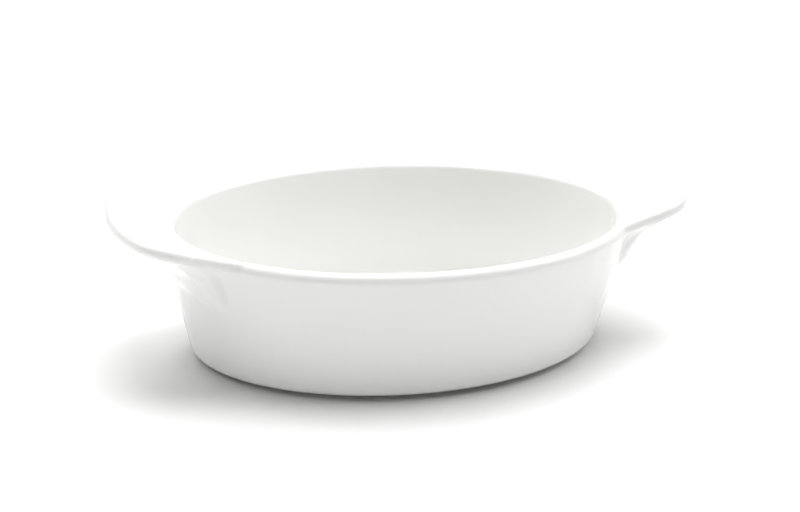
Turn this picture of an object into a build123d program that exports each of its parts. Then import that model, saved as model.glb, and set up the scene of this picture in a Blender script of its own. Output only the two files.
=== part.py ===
from build123d import *
import math
import os

# An oval gratin dish of white porcelain, in millimetres: a body with a rounded lip,
# a low foot under it, and a tab handle with a thick root at each end.
# X runs along the dish, Y across it, Z up. The origin is on the table under the middle.

# Body
lip_length = 214.6
lip_width = 164.4
dish_height = 60.4
wall_thickness = 5.42
lip_radius = 2.65
heel_length = 191.6
heel_width = 140.2
heel_radius = 4.4
floor_thickness = 5.5
inner_corner_radius = 14.0

# Foot
foot_height = 2.0
foot_width = 4.5
foot_inset = 2.0
foot_edge_radius = 0.9

# Handles: the tab
handle_length = 260.0
handle_width = 93.0
handle_thickness = 5.24
handle_edge_radius = 2.6
handle_rise = 7.5
handle_run = 25.35
handle_end_radius = 122.0
handle_corner_radius = 12.5
handle_throat_radius = 9.0
handle_drop = 0.3
handle_sink = 0.6

# Handles: the root under the tab, as depths out from the wall at heights over the table,
# for a tab that reaches the length of the run out from the lip's crest
root_width = 76.0
root_bottom = 35.0
root_belly_height = 40.0
root_belly_depth = 3.4
root_waist_height = 47.0
root_waist_depth = 5.4
root_flare_height = 52.5
root_flare_depth = 9.0
root_top_depth = 16.0
root_sink = 1.5

# How full the root is at stations across its width, from one end to the other
root_station_shares = (-1.0, -0.88, -0.72, -0.45, 0.0, 0.45, 0.72, 0.88, 1.0)
root_fullness_shares = (0.0, 0.55, 0.92, 1.0, 1.0, 1.0, 0.92, 0.55, 0.0)

# Where the cones that slope the handles begin and end, against the lip's crest
cone_span_shares = (0.8, 2.0)

# The most of a wall's half thickness that a rounded edge may take up
full_round_share = 0.98

# One overrun serves every cut and every piece that is trimmed later
overrun = 3.0

# Half a turn puts an oval's seam at the end away from the right handle
seam_turn = 180
# Enough halvings to place the throat's arc as closely as a number can hold it
halvings = 40

# Worked out from the sizes above
lip_round = min(lip_radius, full_round_share * wall_thickness / 2)
handle_round = min(handle_edge_radius, full_round_share * handle_thickness / 2)
lip_height = dish_height - lip_round
heel_height = foot_height + heel_radius
crest_length = lip_length / 2 - lip_round
crest_width = lip_width / 2 - lip_round
handle_slope = handle_rise / handle_run
reach_share = (handle_length / 2 - crest_length) / handle_run
handle_top = dish_height - handle_drop


def wall_axes(height, outset=0):
    """Half length and half width of the outside of the wall at a height, grown by an outset."""
    share = (height - heel_height) / (lip_height - heel_height)
    half_length = (heel_length + (lip_length - heel_length) * share) / 2
    half_width = (heel_width + (lip_width - heel_width) * share) / 2
    return half_length + outset, half_width + outset


def inner_axes(height):
    """Half length and half width of the hollow at a height, the wall's thickness square to its lean."""
    wall_height = lip_height - heel_height
    end_lean = (lip_length - heel_length) / 2 / wall_height
    side_lean = (lip_width - heel_width) / 2 / wall_height
    half_length, half_width = wall_axes(height)
    half_length = half_length - wall_thickness * math.hypot(1, end_lean)
    half_width = half_width - wall_thickness * math.hypot(1, side_lean)
    return half_length, half_width


def oval(half_length, half_width, height):
    """A flat oval face at a height."""
    return Location((0, 0, height), (0, 0, seam_turn)) * Ellipse(half_length, half_width)


def oval_direction(half_length, half_width, angle):
    """The direction square to an oval, outward, at an angle along it."""
    along = math.cos(angle) / half_length
    across = math.sin(angle) / half_width
    length = math.hypot(along, across)
    return along / length, across / length


def wall_solid(axes, bottom, top):
    """The solid inside a leaning oval wall from one height to another."""
    lower = oval(*axes(bottom), bottom)
    upper = oval(*axes(top), top)
    return loft([lower, upper], ruled=True)


def make_blank():
    """The body before it is hollowed, with its heel rounded and its top edge still sharp."""
    blank = wall_solid(wall_axes, foot_height, dish_height)
    return fillet(blank.edges().group_by(Axis.Z)[0], heel_radius)


def make_outside():
    """The body without its hollow, which a handle is cut to fit."""
    blank = make_blank()
    return fillet(blank.edges().group_by(Axis.Z)[-1], lip_round)


def make_body():
    """The body, hollowed to an even wall, with a rounded inner corner and a rounded lip."""
    hollow = wall_solid(inner_axes, foot_height + floor_thickness, dish_height + overrun)
    hollow = fillet(hollow.edges().group_by(Axis.Z)[0], inner_corner_radius)
    body = make_blank() - hollow
    return fillet(body.edges().group_by(Axis.Z)[-1], lip_round)


def make_foot():
    """The low oval foot, set in from the heel, with its standing edges rounded."""
    outer = oval(*wall_axes(foot_height, -heel_radius - foot_inset), 0)
    inner = oval(*wall_axes(foot_height, -heel_radius - foot_inset - foot_width), 0)
    ring = extrude(outer - inner, foot_height)
    return fillet(ring.edges().group_by(Axis.Z)[0], foot_edge_radius)


def cone(height):
    """The solid under a handle's sloping face, which crosses the lip's crest at a height."""
    ends = []
    for share in cone_span_shares:
        level = height + handle_slope * crest_length * (share - 1)
        ends.append(oval(crest_length * share, crest_width * share, level))
    return loft(ends, ruled=True)


def throat_arc():
    """Centre of the arc that leads from the lip into the tab's side, and where it leaves the lip."""
    half_length = lip_length / 2 - handle_sink
    half_width = lip_width / 2 - handle_sink
    centre_y = handle_width / 2 + handle_throat_radius
    low, high = 0, math.pi / 2
    for halving in range(halvings):
        angle = (low + high) / 2
        lean_x, lean_y = oval_direction(half_length, half_width, angle)
        touch_x = half_length * math.cos(angle)
        touch_y = half_width * math.sin(angle)
        if touch_y + handle_throat_radius * lean_y < centre_y:
            low = angle
        else:
            high = angle
    centre_x = touch_x + handle_throat_radius * lean_x
    return angle, centre_x, centre_y, touch_x, touch_y


def tab_depth(angle):
    """Upright depth of the tab that leaves its thickness whole at the throat, where it slopes most."""
    steepness = math.hypot(math.cos(angle), math.sin(angle) * crest_length / crest_width)
    return handle_thickness * math.hypot(1, handle_slope * steepness)


def make_tab():
    """The sloping tab of the right handle, with rounded edges, still running on into the lip."""
    half_length = handle_length / 2
    half_width = handle_width / 2
    angle, centre_x, centre_y, touch_x, touch_y = throat_arc()
    start_x = touch_x - overrun
    corner = (Align.MIN, Align.MIN)
    end_circle = Pos(half_length - handle_end_radius, 0) * Circle(handle_end_radius)
    strip = Pos(start_x, 0) * Rectangle(half_length, handle_width, align=(Align.MIN, Align.CENTER))
    outline = end_circle & strip
    outline = fillet(outline.vertices().group_by(Axis.X)[-1], handle_corner_radius)
    throat_height = touch_y - half_width + overrun
    throat = Pos(start_x, half_width - overrun) * Rectangle(centre_x - start_x, throat_height, align=corner)
    throat = throat - Pos(centre_x, centre_y) * Circle(handle_throat_radius)
    outline = outline + throat + mirror(throat, about=Plane.XZ)
    block = extrude(outline, handle_top + handle_slope * handle_length)
    tab = (block & cone(handle_top - tab_depth(angle))) - cone(handle_top)
    rims = tab.edges().filter_by(Axis.Z, reverse=True)
    rims = rims.filter_by(lambda edge: edge.bounding_box().min.X > start_x + overrun / 2)
    return fillet(rims, handle_round)


def root_section(station, fullness):
    """One upright slice through the root, square to the lip, at a share of its half width."""
    angle = station * math.asin(root_width / 2 / crest_width)
    lean_x, lean_y = oval_direction(crest_length, crest_width, angle)
    start_x = crest_length * math.cos(angle)
    start_y = crest_width * math.sin(angle)

    def place(depth, height):
        distance = wall_axes(height, depth)[0] - crest_length
        return start_x + lean_x * distance, start_y + lean_y * distance, height

    def skin(depth, height):
        return place(depth * reach_share * fullness - root_sink * (1 - fullness), height)

    top_height = handle_top - handle_thickness / 2 + handle_slope * root_top_depth * reach_share
    outer = Spline(
        skin(-root_sink, root_bottom),
        skin(root_belly_depth, root_belly_height),
        skin(root_waist_depth, root_waist_height),
        skin(root_flare_depth, root_flare_height),
        skin(root_top_depth, top_height),
    )
    buried = -overrun - root_sink
    inner = Polyline(outer @ 1, place(buried, top_height), place(buried, root_bottom), outer @ 0)
    return make_face(Curve() + [outer, inner])


def make_root():
    """The thick root of the right handle, still running on into the wall."""
    sections = []
    for station, fullness in zip(root_station_shares, root_fullness_shares):
        sections.append(root_section(station, fullness))
    return loft(sections)


def make_handle():
    """The right handle: tab and root in one, cut to seat on the lip and the wall."""
    return make_tab() + make_root() - make_outside()


os.makedirs("parts", exist_ok=True)
right_handle = make_handle()
pieces = {
    "dish_body": make_body(),
    "foot_ring": make_foot(),
    "left_handle": mirror(right_handle, about=Plane.YZ),
    "right_handle": right_handle,
}
for name, piece in pieces.items():
    export_step(piece, f"parts/{name}.step")
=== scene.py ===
"""An oval gratin dish of glazed porcelain, with a rounded lip and two sloping tab handles."""

import math

import bmesh
import bpy
import numpy as np
from bpy.props import FloatProperty, FloatVectorProperty, IntProperty, PointerProperty
from bpy.types import Operator, Panel, PropertyGroup
from mathutils import Matrix, Vector


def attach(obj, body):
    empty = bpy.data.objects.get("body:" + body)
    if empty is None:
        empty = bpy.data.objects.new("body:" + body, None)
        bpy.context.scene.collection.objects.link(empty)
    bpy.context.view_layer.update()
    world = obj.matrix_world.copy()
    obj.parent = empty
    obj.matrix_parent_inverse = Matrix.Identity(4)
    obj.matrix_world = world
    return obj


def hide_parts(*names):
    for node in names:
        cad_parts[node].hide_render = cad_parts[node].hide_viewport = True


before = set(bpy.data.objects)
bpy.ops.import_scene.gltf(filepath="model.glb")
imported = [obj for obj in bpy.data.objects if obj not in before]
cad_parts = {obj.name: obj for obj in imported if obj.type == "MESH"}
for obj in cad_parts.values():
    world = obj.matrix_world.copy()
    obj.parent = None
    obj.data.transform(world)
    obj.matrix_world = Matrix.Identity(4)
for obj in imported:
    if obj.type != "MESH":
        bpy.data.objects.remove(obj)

bl_info = {
    "name": "Gratin Dish",
    "version": (1, 0, 0),
    "blender": (4, 5, 0),
    "location": "3D View > Sidebar > Dish",
    "description": "Builds an oval porcelain gratin dish with two tab handles",
    "category": "Add Mesh",
}

MM = 0.001

# Inside this distance from the middle, along the dish, the floor and the underside close in on the middle
SHOULDER = 70.0 * MM

# Points that lie closer than these are made one: on a new grid, and on a finished mesh
GRID_MERGE = 0.01 * MM
MESH_MERGE = 0.002 * MM
SHORTEST_EDGE = 0.0005 * MM

# Points on the round of each corner of a profile
HEEL_POINTS = 10
LIP_POINTS = 18
INNER_CORNER_POINTS = 18
FOOT_EDGE_POINTS = 6


# Sizes and colours


def length(name, description, default):
    """A length property, given in millimetres and kept in metres."""
    return FloatProperty(
        name=name,
        description=description,
        default=default * MM,
        min=0.0,
        precision=5,
        subtype="DISTANCE",
        unit="LENGTH",
    )


def number(name, description, default):
    """A plain number property."""
    return FloatProperty(name=name, description=description, default=default)


def colour(name, description, default):
    """A colour property."""
    return FloatVectorProperty(
        name=name, description=description, default=default, min=0.0, max=1.0, size=3, subtype="COLOR"
    )


class DishBody(PropertyGroup):
    """Sizes of the oval body."""

    crest_length: length("Crest half length", "From the middle to the lip's crest, along the dish", 103.763)
    crest_width: length("Crest half width", "From the middle to the lip's crest, across the dish", 78.648)
    crest_height: length("Crest height", "Height of the middle of the lip's round", 56.741)
    lip_radius: length("Lip radius", "Half the thickness of the wall and radius of the lip", 3.3)
    base_height: length("Base height", "Height of the body's underside", 2.0)
    heel_radius: length("Heel radius", "Round between the wall and the underside", 4.4)
    floor_height: length("Floor height", "Height of the floor inside", 5.5)
    corner_radius: length("Inner corner radius", "Round between the wall and the floor inside", 5.5)
    row_gap: length("Row gap", "Distance between rows of points on the plain faces", 2.4)
    end_lean: number("End lean", "How far the wall leans out for its height, at the ends", 0.22396)
    side_lean: number("Side lean", "How far the wall leans out for its height, at the sides", 0.23564)
    stations: IntProperty(name="Stations", description="Points round the oval", default=480, min=32)


class DishFoot(PropertyGroup):
    """Sizes of the foot."""

    outset: length("Foot half length", "From the middle to the foot's outer face, along the dish", 87.6)
    width: length("Foot width", "Width of the ring that stands on the table", 4.5)
    edge_radius: length("Foot edge radius", "Round on the edges that stand on the table", 0.9)


class DishHandle(PropertyGroup):
    """Sizes of the tab handles and their roots."""

    reach: length("Reach", "From the middle of the dish to the middle of the tab's edge", 127.3)
    half_width: length("Half width", "From the middle of the tab to the middle of its side edge", 43.96)
    end_radius: length("End radius", "Curve of the tab's end", 119.2)
    corner_radius: length("Corner radius", "Curve of the tab's corners", 9.57)
    throat: length("Throat", "Curve that leads from the lip into the tab's side", 6.0)
    thickness: length("Half thickness", "Half the thickness of the tab and radius of its edge", 2.65)
    slope: number("Slope", "Rise of the tab for its run", 0.317)
    fillet: length("Fillet", "Curve between the tab's underside and the root", 9.5)
    root_width: length("Root half width", "From the middle of the root to its end", 40.0)
    root_radius: length("Root radius", "Curve of the root's face in plan", 75.0)
    root_lift: length("Root lift", "How much higher the root's lower edge is at its ends", 2.2)
    root_corner: length("Root corner radius", "Round at the root's ends", 5.0)
    crease: length("Crease", "Curve between the root and the wall", 0.8)


class DishGlaze(PropertyGroup):
    """Colours and finish of the porcelain."""

    glaze: colour("Glaze", "Colour of the glaze", (0.92, 0.922, 0.903))
    # The bare foot's colour is darker than the porcelain's own. Part is its greyer unglazed tone and part is
    # painted shade that deepens the dark line in the gap under the dish.
    bisque_and_gap_shade: colour("Bare porcelain", "Colour of the unglazed foot", (0.6, 0.575, 0.53))
    roughness: number("Roughness", "Roughness of the glaze", 0.15)


class DishStage(PropertyGroup):
    """Light, floor and camera."""

    sky: number("Sky", "Brightness of the room overhead", 0.02)
    horizon: number("Horizon", "Brightness of the room's walls", 1.0)
    horizon_top: number("Horizon top", "How high the walls' light reaches", 0.24)
    top_light: number("Top light", "Brightness of the panel overhead", 5.94)
    back_light: number("Back light", "Brightness of the panel behind", 2.64)
    right_light: number("Right light", "Brightness of the panel at the right", 2.35)
    left_light: number("Left light", "Brightness of the panel at the left", 1.25)
    backdrop: number("Backdrop", "Brightness of the room as the camera sees it", 1.0)
    floor: colour("Floor", "Colour of the floor", (0.965, 0.965, 0.965))


# Nodes


class Tree:
    """A geometry tree, with short ways to add its nodes."""

    def __init__(self, name, sizes):
        self.tree = bpy.data.node_groups.new(name, "GeometryNodeTree")
        self.tree.interface.new_socket("Geometry", in_out="OUTPUT", socket_type="NodeSocketGeometry")
        for label, value in sizes.items():
            kind = "NodeSocketInt" if isinstance(value, int) else "NodeSocketFloat"
            socket = self.tree.interface.new_socket(label, in_out="INPUT", socket_type=kind)
            socket.default_value = value
        self.sizes = sizes
        self.given = self.tree.nodes.new("NodeGroupInput").outputs

    def feed(self, socket, value):
        if isinstance(value, bpy.types.NodeSocket):
            self.tree.links.new(value, socket)
        else:
            socket.default_value = value

    def node(self, kind, values=None, **settings):
        made = self.tree.nodes.new(kind)
        for name, value in settings.items():
            setattr(made, name, value)
        for name, value in (values or {}).items():
            self.feed(made.inputs[name], value)
        return made

    def math(self, operation, *values):
        """One number out of numbers."""
        return self.node("ShaderNodeMath", dict(enumerate(values)), operation=operation).outputs[0]

    def vector(self, operation, *values):
        """One vector out of vectors."""
        return self.node("ShaderNodeVectorMath", dict(enumerate(values)), operation=operation).outputs[0]

    def scaled(self, vector, scale):
        """A vector times a number."""
        values = {"Vector": vector, "Scale": scale}
        return self.node("ShaderNodeVectorMath", values, operation="SCALE").outputs[0]

    def combined(self, x, y, z):
        return self.node("ShaderNodeCombineXYZ", {"X": x, "Y": y, "Z": z}).outputs[0]

    def split(self, vector):
        return self.node("ShaderNodeSeparateXYZ", {"Vector": vector}).outputs

    def switch(self, kind, index, choices):
        """One of several values, by an index."""
        made = self.tree.nodes.new("GeometryNodeIndexSwitch")
        made.data_type = kind
        while len(made.index_switch_items) < len(choices):
            made.index_switch_items.new()
        self.feed(made.inputs[0], index)
        for place, choice in enumerate(choices):
            self.feed(made.inputs[place + 1], choice)
        return made.outputs[0]


def profile_curve(tree, corners, row_gap):
    """The curve through a profile's corners, each with its round, cut into short steps."""
    index = tree.node("GeometryNodeInputIndex").outputs[0]
    places = tree.switch("VECTOR", index, [tree.combined(x, 0.0, z) for x, z, radius, count in corners])
    radii = tree.switch("FLOAT", index, [radius for x, z, radius, count in corners])
    counts = tree.switch("INT", index, [count for x, z, radius, count in corners])
    line = tree.node("GeometryNodeMeshLine", {"Count": len(corners)}).outputs[0]
    line = tree.node("GeometryNodeSetPosition", {"Geometry": line, "Position": places}).outputs[0]
    curve = tree.node("GeometryNodeMeshToCurve", {"Mesh": line}).outputs[0]
    rounds = {"Curve": curve, "Radius": radii, "Count": counts}
    rounded = tree.node("GeometryNodeFilletCurve", rounds, mode="POLY").outputs[0]
    position = tree.node("GeometryNodeInputPosition").outputs[0]
    after = tree.node("GeometryNodeFieldAtIndex", data_type="FLOAT_VECTOR", domain="POINT")
    tree.feed(after.inputs["Index"], tree.math("ADD", index, 1))
    tree.feed(after.inputs["Value"], position)
    step = tree.vector("SUBTRACT", after.outputs[0], position)
    distance = tree.node("ShaderNodeVectorMath", {"Vector": step}, operation="LENGTH").outputs["Value"]
    cuts = tree.math("FLOOR", tree.math("DIVIDE", distance, row_gap))
    return tree.node("GeometryNodeSubdivideCurve", {"Curve": rounded, "Cuts": cuts}).outputs[0]


def carry_round(tree, curve, material):
    """Carries a profile round the oval and ends the tree.

    A profile's X is its distance from the middle at the end of the dish. Past the shoulder the profile
    keeps its distance from the crest all round. Inside the shoulder it closes in on the middle.
    """
    given = tree.given
    last = tree.node("GeometryNodeAttributeDomainSize", {"Geometry": curve}, component="CURVE")
    rows = last.outputs["Point Count"]
    steps = tree.math("SUBTRACT", rows, 1)
    stations = given["Stations"]
    sizes = {
        "Size X": stations,
        "Size Y": steps,
        "Vertices X": tree.math("ADD", stations, 1),
        "Vertices Y": rows,
    }
    grid = tree.node("GeometryNodeMeshGrid", sizes).outputs[0]
    grid_x, grid_y, grid_z = tree.split(tree.node("GeometryNodeInputPosition").outputs[0])
    station = tree.math("ADD", grid_x, tree.math("MULTIPLY", stations, 0.5))
    row = tree.math("ROUND", tree.math("ADD", grid_y, tree.math("MULTIPLY", steps, 0.5)))
    sample = tree.node("GeometryNodeSampleIndex", data_type="FLOAT_VECTOR", domain="POINT")
    tree.feed(sample.inputs["Geometry"], curve)
    tree.feed(sample.inputs["Value"], tree.node("GeometryNodeInputPosition").outputs[0])
    tree.feed(sample.inputs["Index"], row)
    profile_x, profile_y, profile_z = tree.split(sample.outputs[0])
    angle = tree.math("MULTIPLY", tree.math("DIVIDE", station, stations), math.tau)
    ray = tree.combined(tree.math("COSINE", angle), tree.math("SINE", angle), 0.0)
    half_length = given["Crest half length"]
    half_width = given["Crest half width"]
    crest = tree.vector("MULTIPLY", ray, tree.combined(half_length, half_width, 0.0))
    axes = tree.combined(half_length, half_width, 1.0)
    outward = tree.vector("NORMALIZE", tree.vector("DIVIDE", ray, axes))
    across = tree.split(outward)[1]
    lean = tree.math("MULTIPLY", tree.math("MULTIPLY", across, across), given["Side lean more"])
    lean = tree.math("MULTIPLY", lean, tree.math("SUBTRACT", profile_z, given["Crest height"]))
    shoulder = given["Shoulder"]
    distance = tree.math("SUBTRACT", tree.math("MAXIMUM", profile_x, shoulder), half_length)
    place = tree.vector("ADD", crest, tree.scaled(outward, tree.math("ADD", distance, lean)))
    place = tree.scaled(place, tree.math("MINIMUM", tree.math("DIVIDE", profile_x, shoulder), 1.0))
    place = tree.vector("ADD", place, tree.combined(0.0, 0.0, profile_z))
    shaped = tree.node("GeometryNodeSetPosition", {"Geometry": grid, "Position": place}).outputs[0]
    merged = tree.node("GeometryNodeMergeByDistance", {"Geometry": shaped, "Distance": GRID_MERGE}).outputs[0]
    smooth = tree.node("GeometryNodeSetShadeSmooth", {"Geometry": merged}).outputs[0]
    real = tree.node("GeometryNodeRealizeInstances", {"Geometry": smooth}).outputs[0]
    dressed = tree.node("GeometryNodeSetMaterial", {"Geometry": real, "Material": material}).outputs[0]
    end = tree.tree.nodes.new("NodeGroupOutput")
    tree.feed(end.inputs["Geometry"], dressed)


def outward_faces(mesh):
    """Closes what still stands apart and turns every face outward."""
    shell = bmesh.new()
    shell.from_mesh(mesh)
    bmesh.ops.remove_doubles(shell, verts=shell.verts, dist=MESH_MERGE)
    bmesh.ops.dissolve_degenerate(shell, edges=shell.edges, dist=SHORTEST_EDGE)
    bmesh.ops.recalc_face_normals(shell, faces=shell.faces)
    for face in shell.faces:
        face.smooth = True
    shell.to_mesh(mesh)
    shell.free()


def object_from_tree(name, tree):
    """A plain mesh object made by a tree, with no modifier left on it."""
    piece = bpy.data.objects.new(name, bpy.data.meshes.new(name))
    bpy.context.scene.collection.objects.link(piece)
    modifier = piece.modifiers.new("Shape", "NODES")
    modifier.node_group = tree.tree
    for item in tree.tree.interface.items_tree:
        if item.in_out == "INPUT":
            modifier[item.identifier] = tree.sizes[item.name]
    depsgraph = bpy.context.evaluated_depsgraph_get()
    mesh = bpy.data.meshes.new_from_object(piece.evaluated_get(depsgraph), depsgraph=depsgraph)
    piece.modifiers.clear()
    piece.data = mesh
    mesh.name = name
    outward_faces(mesh)
    return piece


def body_sizes(body):
    """The inputs that every tree here shares."""
    return {
        "Crest half length": body.crest_length,
        "Crest half width": body.crest_width,
        "Crest height": body.crest_height,
        "Side lean more": body.side_lean - body.end_lean,
        "Shoulder": SHOULDER,
        "Stations": body.stations,
    }


# Materials

# The least and the most of the glaze's colour, as shares of red, green and blue, and its noises
GLAZE_TINTS = ((0.988, 0.988, 0.98), (1.012, 1.012, 1.02))
GLAZE_CLOUD = {"Scale": 22.0, "Detail": 3.0, "Roughness": 0.5}
GLAZE_RIPPLE = {"Scale": 32.0, "Detail": 2.0, "Roughness": 0.45}
GLAZE_BUMP = {"Strength": 0.35, "Distance": 0.3 * MM}
# The ripple is shorter upright than it is level
RIPPLE_SQUEEZE = (1.0, 1.0, 2.6)
# How far the glaze's roughness goes below and above its own
GLOSS_SPREAD = (-0.04, 0.05)
GLAZE_IOR = 1.5

# The same for the bare porcelain
BARE_TINTS = ((0.93, 0.92, 0.9), (1.05, 1.05, 1.05))
BARE_GRAIN = {"Scale": 900.0, "Detail": 4.0, "Roughness": 0.6}
BARE_BUMP = {"Strength": 0.4, "Distance": 0.05 * MM}
BARE_ROUGHNESS = 0.75


def shader_tree(name):
    """A new material with its shader, and short ways to add nodes to it."""
    material = bpy.data.materials.new(name)
    material.use_nodes = True
    nodes = material.node_tree.nodes
    shader = nodes["Principled BSDF"]
    links = material.node_tree.links

    def add(kind, values=None, **settings):
        node = nodes.new(kind)
        for key, value in settings.items():
            setattr(node, key, value)
        for key, value in (values or {}).items():
            if isinstance(value, bpy.types.NodeSocket):
                links.new(value, node.inputs[key])
            else:
                node.inputs[key].default_value = value
        return node

    return material, shader, add, links


def tinted(add, noise, base, tints):
    """A colour that a noise moves between two tints of the base colour."""
    tint = add("ShaderNodeMix", {"Factor": noise}, data_type="RGBA")
    for socket, shares in zip(("A", "B"), tints):
        parts = [min(part * share, 1.0) for part, share in zip(base, shares)]
        tint.inputs[socket].default_value = (*parts, 1.0)
    return tint.outputs["Result"]


def glazed_porcelain(name, finish):
    """White glaze, with a faint unevenness in its colour, its gloss and its surface."""
    material, shader, add, links = shader_tree(name)
    place = add("ShaderNodeTexCoord").outputs["Object"]
    cloud = add("ShaderNodeTexNoise", {"Vector": place, **GLAZE_CLOUD}).outputs["Fac"]
    links.new(tinted(add, cloud, finish.glaze, GLAZE_TINTS), shader.inputs["Base Color"])
    gloss = {
        "Value": cloud,
        "To Min": finish.roughness + GLOSS_SPREAD[0],
        "To Max": finish.roughness + GLOSS_SPREAD[1],
    }
    links.new(add("ShaderNodeMapRange", gloss).outputs["Result"], shader.inputs["Roughness"])
    squeezed = add("ShaderNodeVectorMath", {0: place, 1: RIPPLE_SQUEEZE}, operation="MULTIPLY").outputs[0]
    ripple = add("ShaderNodeTexNoise", {"Vector": squeezed, **GLAZE_RIPPLE}).outputs["Fac"]
    bump = add("ShaderNodeBump", {"Height": ripple, **GLAZE_BUMP})
    links.new(bump.outputs["Normal"], shader.inputs["Normal"])
    shader.inputs["IOR"].default_value = GLAZE_IOR
    return material


def bare_porcelain(name, finish):
    """Unglazed porcelain, matt and finely grained. Its colour is partly the porcelain's own tone and partly
    painted shade: it is darkened to deepen the gap under the dish.
    """
    material, shader, add, links = shader_tree(name)
    place = add("ShaderNodeTexCoord").outputs["Object"]
    grain = add("ShaderNodeTexNoise", {"Vector": place, **BARE_GRAIN}).outputs["Fac"]
    # This colour carries painted shade for the gap under the dish, as well as the porcelain's own tone
    links.new(tinted(add, grain, finish.bisque_and_gap_shade, BARE_TINTS), shader.inputs["Base Color"])
    bump = add("ShaderNodeBump", {"Height": grain, **BARE_BUMP})
    links.new(bump.outputs["Normal"], shader.inputs["Normal"])
    shader.inputs["Roughness"].default_value = BARE_ROUGHNESS
    return material


def finished_material(name, make, finish):
    """The material of that name, made the first time it is asked for.

    The name has to differ from those of the model's own plain materials.
    """
    return bpy.data.materials.get(name) or make(name, finish)


# Handles

# How far the root's middle stands out from the wall, in millimetres, at heights over the table
ROOT_HEIGHTS = (30.0, 35.0, 36.5, 39.0, 40.5, 43.0, 45.6, 49.0, 51.3, 54.0, 58.0, 64.0)
ROOT_DEPTHS = (-6.0, -2.8, -1.7, 0.0, 0.8, 1.8, 2.6, 3.3, 3.8, 4.8, 6.0, 8.0)

# The root's lower edge is lifted below this height, and the lift comes in over this distance
LIFT_TOP = 50.0
LIFT_FADE = 8.0

# The root and the fillet come in over this distance below the tab's middle. Above it the root is put far off
UNDER_FADE = 2.0
FAR_OFF = 50.0

# How much wider the fillet is at this distance from the middle, and the most of the reach that it takes
FILLET_GROWTH = 0.25
FILLET_SPAN = 40.0
FILLET_MOST = 0.95

# Halvings, and the farthest place tried, in the search for the tab's edge
HALVINGS = 40
FARTHEST_REACH = 60.0

# A small step, in millimetres, that shows which way a surface turns
PROBE = 0.004

# The outlines start inside the lip, at this turn from level, and are followed in this many such steps
START_TURN = 152.0
TRACE_STEPS = 660
TRACE_STEP = 0.15

# A row's points lie closer where it bends, by this weight, evened out over this many steps
BEND_WEIGHT = 4.0
BEND_SPREAD = 19

# The handle's planes across its width, its rows of points, and how far round the oval it goes, in radians
HANDLE_STATIONS = 151
HANDLE_ROWS = 124
HANDLE_TURN = 0.735

# How far the handle's skin stands over the body's, in the middle and in the planes at either end
SKIN_LEVEL = 0.02
END_LEVELS = (-0.03, -0.005)

# How far the first and the last rows are sunk into the wall, and where the rows behind them lie
ROW_SINKS = ((0, 0.05), (1, 0.025))
BACK_ROWS = (1.0, 0.75, 0.5, 0.25, 0.0)

# How low the outlines go beside the root and on it, and where one passes into the other
END_HEIGHTS = (48.0, 32.5)
ROOT_ZONE_END = 52.0
ROOT_ZONE_FADE = 10.0


def smooth_step(value):
    value = np.clip(value, 0.0, 1.0)
    return value * value * (3.0 - 2.0 * value)


def mix(first, second, share):
    return first + (second - first) * share


def smooth_through(places, values, where):
    """A smooth curve through the values at the places."""
    places = np.array(places)
    values = np.array(values)
    slopes = np.gradient(values, places)
    where = np.clip(where, places[0], places[-1])
    step = np.clip(np.searchsorted(places, where) - 1, 0, len(places) - 2)
    gap = places[step + 1] - places[step]
    share = (where - places[step]) / gap
    start = (1 + 2 * share) * (1 - share) ** 2 * values[step] + share * (1 - share) ** 2 * gap * slopes[step]
    end = share**2 * (3 - 2 * share) * values[step + 1] + share**2 * (share - 1) * gap * slopes[step + 1]
    return start + end


def round_union(first, second, radius):
    """Distance to the union of two shapes, with a round of that radius in the angle between them."""
    rest = np.hypot(np.maximum(radius - first, 0.0), np.maximum(radius - second, 0.0))
    return np.maximum(radius, np.minimum(first, second)) - rest


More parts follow.
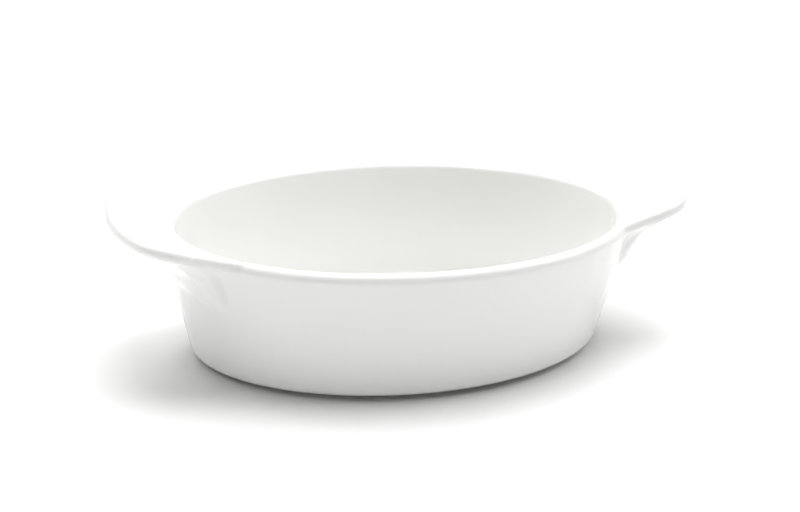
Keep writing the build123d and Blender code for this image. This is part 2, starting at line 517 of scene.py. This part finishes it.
class HandleShape:
    """The handle as distances, in millimetres, in upright planes that stand square to the lip's crest."""

    def __init__(self, body, handle, angles):
        self.crest_length = body.crest_length / MM
        self.crest_width = body.crest_width / MM
        self.crest_height = body.crest_height / MM
        self.lip_radius = body.lip_radius / MM
        self.lean = body.end_lean
        self.handle = handle
        self.start_x = self.crest_length * np.cos(angles)
        self.start_y = self.crest_width * np.sin(angles)
        out_x = np.cos(angles) / self.crest_length
        out_y = np.sin(angles) / self.crest_width
        size = np.hypot(out_x, out_y)
        self.out_x = out_x / size
        self.out_y = out_y / size
        self.more_lean = (body.side_lean - body.end_lean) * self.out_y**2
        self.reach = self.tab_reach()

    def plan(self, distance):
        """Place in plan at a distance out from the crest."""
        return self.start_x + self.out_x * distance, self.start_y + self.out_y * distance

    def outline(self, x, y, distance):
        """Distance in plan outside the middle line of the tab's edge."""
        handle = self.handle
        end = np.hypot(x - (handle.reach - handle.end_radius) / MM, y) - handle.end_radius / MM
        side = np.abs(y) - handle.half_width / MM
        corner = handle.corner_radius / MM
        inside = np.minimum(np.maximum(end, side) + corner, 0.0)
        tab = inside + np.hypot(np.maximum(end + corner, 0.0), np.maximum(side + corner, 0.0)) - corner
        return round_union(tab, distance, handle.throat / MM)

    def tab_reach(self):
        """Distance from the crest to the middle line of the tab's edge."""
        low = np.zeros_like(self.start_x)
        high = np.full_like(self.start_x, FARTHEST_REACH)
        for halving in range(HALVINGS):
            middle = (low + high) / 2
            inside = self.outline(*self.plan(middle), middle) < 0.0
            low = np.where(inside, middle, low)
            high = np.where(inside, high, middle)
        return low

    def level(self, x, y):
        """Height of the tab's middle. Its top runs level into the lip's top."""
        climb = self.handle.slope * self.crest_length
        start = self.crest_height + self.lip_radius - self.handle.thickness / MM
        return start + climb * (np.hypot(x / self.crest_length, y / self.crest_width) - 1.0)

    def tab(self, distance, height):
        """Distance outside the tab, and how far below its middle."""
        x, y = self.plan(distance)
        edge = self.outline(x, y, distance)
        level = self.level(x, y)
        edge_x = (self.outline(x + PROBE, y, distance + PROBE * self.out_x) - edge) / PROBE
        edge_y = (self.outline(x, y + PROBE, distance + PROBE * self.out_y) - edge) / PROBE
        level_x = (self.level(x + PROBE, y) - level) / PROBE
        level_y = (self.level(x, y + PROBE) - level) / PROBE
        above = height - level
        rise = level_x * edge_x + level_y * edge_y
        past_edge = (edge + rise * (above + rise * edge)) / np.hypot(1.0, rise)
        climb = level_x * self.out_x + level_y * self.out_y
        past_crest = -(distance + climb * (above + climb * distance)) / np.hypot(1.0, climb)
        beyond = np.maximum(np.maximum(past_edge, past_crest), 0.0)
        square = above / np.sqrt(1.0 + level_x**2 + level_y**2)
        return np.hypot(beyond, square) - self.handle.thickness / MM, -above

    def wall(self, distance, height):
        """Distance outside the bare wall with its rounded lip."""
        drop = self.crest_height - height
        level = distance + self.more_lean * drop
        size = math.hypot(self.lean, 1.0)
        along = np.maximum((drop - self.lean * level) / size, 0.0)
        return np.hypot(level + self.lean * along / size, drop - along / size) - self.lip_radius

    def root(self, distance, height):
        """Distance outside the root, whose face is flatter in plan than the wall."""
        handle = self.handle
        x, y = self.plan(distance)
        wall = self.crest_length + self.lip_radius * math.hypot(1.0, self.lean)
        wall = wall - self.lean * (self.crest_height - height)
        curve = y * MM / handle.root_radius
        share = y * MM / handle.root_width
        lift = handle.root_lift / MM * share**2 * smooth_step((LIFT_TOP - height) / LIFT_FADE)
        face = wall + smooth_through(ROOT_HEIGHTS, ROOT_DEPTHS, height - lift) - curve * y / 2
        front = (x - face) / np.sqrt(1.0 + curve**2 + self.lean**2)
        side = np.abs(y) - handle.root_width / MM
        corner = handle.root_corner / MM
        inside = np.minimum(np.maximum(front, side) + corner, 0.0)
        return inside + np.hypot(np.maximum(front + corner, 0.0), np.maximum(side + corner, 0.0)) - corner

    def gap(self, distance, height):
        """Distance outside the whole handle. The root and the fillet count only under the tab."""
        tab, below = self.tab(distance, height)
        under = smooth_step(below / UNDER_FADE)
        root = self.root(distance, height) + FAR_OFF * (1.0 - under)
        wall = round_union(self.wall(distance, height), root, self.handle.crease / MM)
        growth = 1.0 + FILLET_GROWTH * (self.start_y / FILLET_SPAN) ** 2
        fillet = np.minimum(self.handle.fillet / MM * growth, FILLET_MOST * self.reach)
        return round_union(tab, wall, fillet * under)

    def slope(self, distance, height, level):
        """The gap over a level, and how it changes outward and upward."""
        here = self.gap(distance, height)
        outward = (self.gap(distance + PROBE, height) - here) / PROBE
        upward = (self.gap(distance, height + PROBE) - here) / PROBE
        return here - level, outward, upward


def traced_outline(shape, level):
    """Follows the handle's skin in each plane, from inside the lip, round the tab and down the wall."""
    turn = math.radians(START_TURN)
    distance = (shape.lip_radius + level) * math.cos(turn)
    height = shape.crest_height + (shape.lip_radius + level) * math.sin(turn)
    over, outward, upward = shape.slope(distance, height, level)
    path = [(distance, height)]
    for step in range(TRACE_STEPS):
        size = np.hypot(outward, upward)
        distance = distance + upward / size * TRACE_STEP
        height = height - outward / size * TRACE_STEP
        over, outward, upward = shape.slope(distance, height, level)
        square = outward**2 + upward**2
        distance = distance - over * outward / square
        height = height - over * upward / square
        path.append((distance, height))
    return np.array(path)


def evened_row(path, end_height, rows):
    """The part of one outline down to a height, as a number of points that lie closer where it bends."""
    last = int(np.argmax(path[:, 1] < end_height))
    path = path[: last + 1]
    move = np.diff(path, axis=0)
    size = np.hypot(move[:, 0], move[:, 1])
    turn = np.unwrap(np.arctan2(move[:, 1], move[:, 0]))
    bend = np.abs(np.gradient(turn)) * BEND_WEIGHT
    bend = np.pad(bend, BEND_SPREAD // 2, mode="edge")
    weight = size + np.convolve(bend, np.full(BEND_SPREAD, 1 / BEND_SPREAD), mode="valid")
    sums = np.concatenate([[0.0], np.cumsum(weight)])
    wanted = np.linspace(0.0, sums[-1], rows)
    return np.stack([np.interp(wanted, sums, path[:, 0]), np.interp(wanted, sums, path[:, 1])], axis=-1)


def handle_points(body, handle):
    """Rows of points round the handle, station by station. The last few rows are buried in the wall."""
    angles = np.linspace(-HANDLE_TURN, HANDLE_TURN, HANDLE_STATIONS)
    shape = HandleShape(body, handle, angles)
    level = np.full(HANDLE_STATIONS, SKIN_LEVEL)
    level[:2] = END_LEVELS
    level[-2:] = END_LEVELS[::-1]
    root_zone = smooth_step((ROOT_ZONE_END - np.abs(shape.start_y)) / ROOT_ZONE_FADE)
    end_height = mix(*END_HEIGHTS, root_zone)
    paths = traced_outline(shape, level)
    if (paths[-1, 1] > end_height).any():
        raise ValueError("the handle's outline is longer than the steps that follow it")
    outline = []
    for station, end in enumerate(end_height):
        outline.append(evened_row(paths[:, :, station], end, HANDLE_ROWS))
    outline = np.array(outline)
    distance = outline[:, :, 0]
    height = outline[:, :, 1]
    lean = (shape.lean + shape.more_lean)[:, None]
    for row, sunk in ROW_SINKS:
        distance[:, row] += sunk
        distance[:, -1 - row] -= sunk
    drop = (shape.crest_height - end_height)[:, None] * np.array(BACK_ROWS)[None, :]
    distance = np.hstack([distance, -lean * drop])
    height = np.hstack([height, shape.crest_height - drop])
    x = shape.start_x[:, None] + shape.out_x[:, None] * distance
    y = shape.start_y[:, None] + shape.out_y[:, None] * distance
    return np.stack([x, y, height], axis=-1)


def handle_mesh(name, points, mirrored):
    """A closed mesh over the rows of points."""
    points = points * MM
    if mirrored:
        points = points * np.array([-1.0, 1.0, 1.0])
    stations, rows, axes = points.shape
    corners = points.reshape(-1, 3).tolist()
    faces = []
    for station in range(stations - 1):
        for row in range(rows):
            after = (row + 1) % rows
            here = station * rows
            there = here + rows
            faces.append((here + row, here + after, there + after, there + row))
    faces.append(tuple(range(rows)))
    faces.append(tuple(range((stations - 1) * rows, stations * rows)))
    mesh = bpy.data.meshes.new(name)
    mesh.from_pydata(corners, [], faces)
    outward_faces(mesh)
    return mesh


# Stage

FLOOR_HALF_SIDE = 6.0
FLOOR_ROUGHNESS = 0.9

# The light panels: name, azimuth and elevation in degrees, distance, width and height in metres
PANELS = (
    ("top_light", 0.0, 89.0, 1.8, 0.92, 0.92),
    ("back_light", 90.0, 54.0, 2.0, 1.90, 1.46),
    ("right_light", 0.0, 54.0, 2.0, 1.90, 1.46),
    ("left_light", 180.0, 58.0, 2.0, 1.90, 1.46),
)

# The camera's place round the dish and its roll, in degrees, and its distance, in metres
CAMERA_ELEVATION = 19.44925
CAMERA_AZIMUTH = -21.04308
CAMERA_ROLL = 1.69956
CAMERA_DISTANCE = 0.650
# What it aims at: a height on the dish's axis, then moved right and up in the picture, in metres
AIM_HEIGHT = 0.030
AIM_RIGHT = 0.18948 * MM
AIM_UP = 8.44570 * MM
# Its focal length in pixels of a picture this wide, and its sensor's width in millimetres
FOCAL_PIXELS = 1435.5475
PICTURE_WIDTH = 800.0
SENSOR_WIDTH = 36.0
NEAREST = 0.01


# Operators


class DISH_OT_body(Operator):
    """Make the oval body with its floor, leaning wall and rounded lip"""

    bl_idname = "dish.body"
    bl_label = "Body"

    def execute(self, context):
        body = context.scene.dish_body
        sizes = body_sizes(body)
        sizes["Lip radius"] = body.lip_radius
        sizes["End lean"] = body.end_lean
        sizes["Base height"] = body.base_height
        sizes["Heel radius"] = body.heel_radius
        sizes["Floor height"] = body.floor_height
        sizes["Inner corner radius"] = body.corner_radius
        sizes["Row gap"] = body.row_gap
        tree = Tree("Dish body", sizes)
        given = tree.given
        lean = given["End lean"]
        half_wall = tree.math("MULTIPLY", given["Lip radius"], math.hypot(1.0, body.end_lean))
        top = tree.math("ADD", given["Crest height"], given["Lip radius"])

        def face(height, side):
            """Where one face of the wall is at a height."""
            fall = tree.math("SUBTRACT", height, given["Crest height"])
            middle = tree.math("ADD", given["Crest half length"], tree.math("MULTIPLY", fall, lean))
            return tree.math("ADD", middle, tree.math("MULTIPLY", half_wall, side))

        base = given["Base height"]
        floor = given["Floor height"]
        corners = [
            (0.0, base, 0.0, 1),
            (face(base, 1.0), base, given["Heel radius"], HEEL_POINTS),
            (face(top, 1.0), top, given["Lip radius"], LIP_POINTS),
            (face(top, -1.0), top, given["Lip radius"], LIP_POINTS),
            (face(floor, -1.0), floor, given["Inner corner radius"], INNER_CORNER_POINTS),
            (0.0, floor, 0.0, 1),
        ]
        curve = profile_curve(tree, corners, given["Row gap"])
        material = finished_material("white_glaze", glazed_porcelain, context.scene.dish_glaze)
        carry_round(tree, curve, material)
        piece = object_from_tree("dish_shell", tree)
        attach(piece, "root")
        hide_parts("dish_body")
        return {"FINISHED"}


class DISH_OT_foot(Operator):
    """Make the low oval foot that the dish stands on"""

    bl_idname = "dish.foot"
    bl_label = "Foot"

    def execute(self, context):
        body = context.scene.dish_body
        foot = context.scene.dish_foot
        sizes = body_sizes(body)
        sizes["Foot half length"] = foot.outset
        sizes["Foot width"] = foot.width
        sizes["Edge radius"] = foot.edge_radius
        sizes["Base height"] = body.base_height
        sizes["Row gap"] = body.row_gap
        tree = Tree("Dish foot", sizes)
        given = tree.given
        outer = given["Foot half length"]
        inner = tree.math("SUBTRACT", outer, given["Foot width"])
        top = given["Base height"]
        edge = given["Edge radius"]
        corners = [
            (inner, top, 0.0, 1),
            (inner, 0.0, edge, FOOT_EDGE_POINTS),
            (outer, 0.0, edge, FOOT_EDGE_POINTS),
            (outer, top, 0.0, 1),
            (inner, top, 0.0, 1),
        ]
        curve = profile_curve(tree, corners, given["Row gap"])
        material = finished_material("bare_foot", bare_porcelain, context.scene.dish_glaze)
        carry_round(tree, curve, material)
        piece = object_from_tree("foot", tree)
        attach(piece, "root")
        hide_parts("foot_ring")
        return {"FINISHED"}


class DISH_OT_handles(Operator):
    """Make the two tab handles with the roots that hold them to the wall"""

    bl_idname = "dish.handles"
    bl_label = "Handles"

    def execute(self, context):
        scene = context.scene
        points = handle_points(scene.dish_body, scene.dish_handle)
        material = finished_material("white_glaze", glazed_porcelain, scene.dish_glaze)
        for side, mirrored in (("right", False), ("left", True)):
            name = f"{side}_tab"
            mesh = handle_mesh(name, points, mirrored)
            mesh.materials.append(material)
            piece = bpy.data.objects.new(name, mesh)
            scene.collection.objects.link(piece)
            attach(piece, "root")
            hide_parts(f"{side}_handle")
        return {"FINISHED"}


class DISH_OT_stage(Operator):
    """Set up the floor, the light and the camera"""

    bl_idname = "dish.stage"
    bl_label = "Stage"

    def execute(self, context):
        scene = context.scene
        stage = scene.dish_stage
        scene.view_settings.view_transform = "Standard"
        scene.view_settings.look = "None"
        self.make_floor(scene, stage)
        self.make_light(scene, stage)
        self.make_camera(scene)
        return {"FINISHED"}

    def make_floor(self, scene, stage):
        mesh = bpy.data.meshes.new("floor")
        side = FLOOR_HALF_SIDE
        corners = [(-side, -side, 0), (side, -side, 0), (side, side, 0), (-side, side, 0)]
        mesh.from_pydata(corners, [], [(0, 1, 2, 3)])
        material, shader = shader_tree("floor")[:2]
        shader.inputs["Base Color"].default_value = (*stage.floor, 1.0)
        shader.inputs["Roughness"].default_value = FLOOR_ROUGHNESS
        shader.inputs["Specular IOR Level"].default_value = 0.0
        mesh.materials.append(material)
        floor = bpy.data.objects.new("floor", mesh)
        scene.collection.objects.link(floor)

    def make_light(self, scene, stage):
        world = bpy.data.worlds.new("studio")
        world.use_nodes = True
        nodes = world.node_tree.nodes
        links = world.node_tree.links
        background = nodes["Background"]
        background.inputs["Color"].default_value = (1.0, 1.0, 1.0, 1.0)
        direction = nodes.new("ShaderNodeTexCoord")
        parts = nodes.new("ShaderNodeSeparateXYZ")
        fade = nodes.new("ShaderNodeMapRange")
        fade.interpolation_type = "SMOOTHSTEP"
        fade.inputs["From Min"].default_value = 0.0
        fade.inputs["From Max"].default_value = stage.horizon_top
        fade.inputs["To Min"].default_value = stage.horizon
        fade.inputs["To Max"].default_value = stage.sky
        links.new(direction.outputs["Object"], parts.inputs["Vector"])
        links.new(parts.outputs["Z"], fade.inputs["Value"])
        seen = nodes.new("ShaderNodeLightPath")
        backdrop = nodes.new("ShaderNodeMix")
        backdrop.inputs["B"].default_value = stage.backdrop
        links.new(seen.outputs["Is Camera Ray"], backdrop.inputs["Factor"])
        links.new(fade.outputs["Result"], backdrop.inputs["A"])
        links.new(backdrop.outputs["Result"], background.inputs["Strength"])
        scene.world = world
        for name, *placing in PANELS:
            self.make_lamp(scene, name, getattr(stage, name), *placing)

    def make_lamp(self, scene, name, brightness, azimuth, elevation, distance, width, height):
        """A soft panel that faces the dish from one side. Its brightness is that of its surface."""
        light = bpy.data.lights.new(name, "AREA")
        light.shape = "RECTANGLE"
        light.size = width
        light.size_y = height
        light.energy = brightness * math.pi * width * height
        azimuth = math.radians(azimuth)
        elevation = math.radians(elevation)
        level = math.cos(elevation)
        way = Vector((math.cos(azimuth) * level, math.sin(azimuth) * level, math.sin(elevation)))
        lamp = bpy.data.objects.new(name, light)
        lamp.location = way * distance
        lamp.rotation_euler = (-way).to_track_quat("-Z", "Y").to_euler()
        scene.collection.objects.link(lamp)

    def make_camera(self, scene):
        elevation = math.radians(CAMERA_ELEVATION)
        azimuth = math.radians(CAMERA_AZIMUTH)
        roll = math.radians(CAMERA_ROLL)
        level = math.cos(elevation)
        back = Vector((math.sin(azimuth) * level, -math.cos(azimuth) * level, math.sin(elevation)))
        right = Vector((math.cos(azimuth), math.sin(azimuth), 0.0))
        up = back.cross(right)
        target = Vector((0.0, 0.0, AIM_HEIGHT)) + right * AIM_RIGHT + up * AIM_UP
        place = target + back * CAMERA_DISTANCE
        turned_right = right * math.cos(roll) + up * math.sin(roll)
        turned_up = up * math.cos(roll) - right * math.sin(roll)
        turn = Matrix((turned_right, turned_up, back)).transposed().to_4x4()
        turn.translation = place
        lens = bpy.data.cameras.new("camera")
        lens.sensor_fit = "HORIZONTAL"
        lens.sensor_width = SENSOR_WIDTH
        lens.lens = FOCAL_PIXELS * SENSOR_WIDTH / PICTURE_WIDTH
        lens.clip_start = NEAREST
        camera = bpy.data.objects.new("camera", lens)
        camera.matrix_world = turn
        scene.collection.objects.link(camera)
        scene.camera = camera


class DISH_PT_panel(Panel):
    """Lists the pieces of the dish and their sizes"""

    bl_idname = "DISH_PT_panel"
    bl_label = "Gratin dish"
    bl_space_type = "VIEW_3D"
    bl_region_type = "UI"
    bl_category = "Dish"

    def draw(self, context):
        for operator in OPERATORS:
            self.layout.operator(operator.bl_idname)
        for name, group in GROUPS.items():
            box = self.layout.box()
            for key in group.__annotations__:
                box.prop(getattr(context.scene, name), key)


OPERATORS = (DISH_OT_body, DISH_OT_foot, DISH_OT_handles, DISH_OT_stage)
GROUPS = {
    "dish_body": DishBody,
    "dish_foot": DishFoot,
    "dish_handle": DishHandle,
    "dish_glaze": DishGlaze,
    "dish_stage": DishStage,
}


def register():
    for name, group in GROUPS.items():
        bpy.utils.register_class(group)
        setattr(bpy.types.Scene, name, PointerProperty(type=group))
    for item in (*OPERATORS, DISH_PT_panel):
        bpy.utils.register_class(item)


def unregister():
    for item in (DISH_PT_panel, *reversed(OPERATORS)):
        bpy.utils.unregister_class(item)
    for name, group in reversed(GROUPS.items()):
        delattr(bpy.types.Scene, name)
        bpy.utils.unregister_class(group)


def main():
    register()
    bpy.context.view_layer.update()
    bpy.ops.dish.body()
    bpy.ops.dish.foot()
    bpy.ops.dish.handles()
    bpy.ops.dish.stage()


if __name__ == "__main__":
    main()
